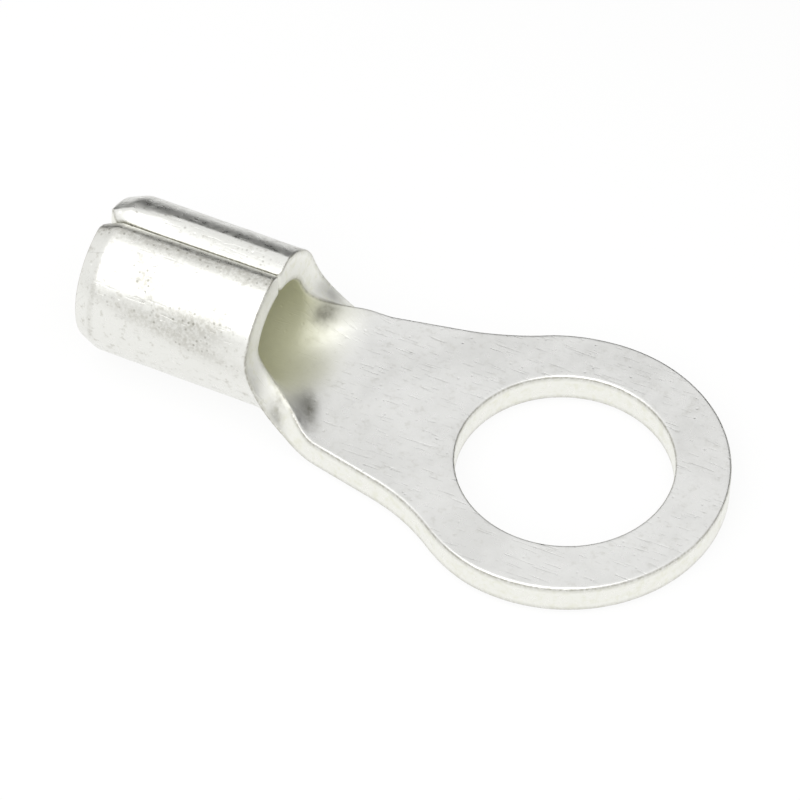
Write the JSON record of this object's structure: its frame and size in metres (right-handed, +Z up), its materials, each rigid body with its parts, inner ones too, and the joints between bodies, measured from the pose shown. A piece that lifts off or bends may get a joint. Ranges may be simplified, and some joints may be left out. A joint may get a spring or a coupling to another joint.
{
  "type": "ring terminal",
  "caption": "Uninsulated ring terminal: a flat stud ring and tongue that bend up into a rolled, butt-seamed wire barrel, stamped from one tinned sheet.",
  "frame": {"origin": "centre of the stud hole on the underside of the ring", "axes": "+X along the terminal from the barrel towards the ring's tip, +Z up through the stud hole towards the side on which the barrel stands, +Y across the ring"},
  "size_m": [0.0163, 0.008, 0.004],
  "materials": {
    "tin_plating": "matt tin plating over copper, finely pitted and lightly scratched, brighter along the cut edges"
  },
  "bodies": {
    "root": {"ring_terminal": "tin_plating"}
  },
  "joints": []
}
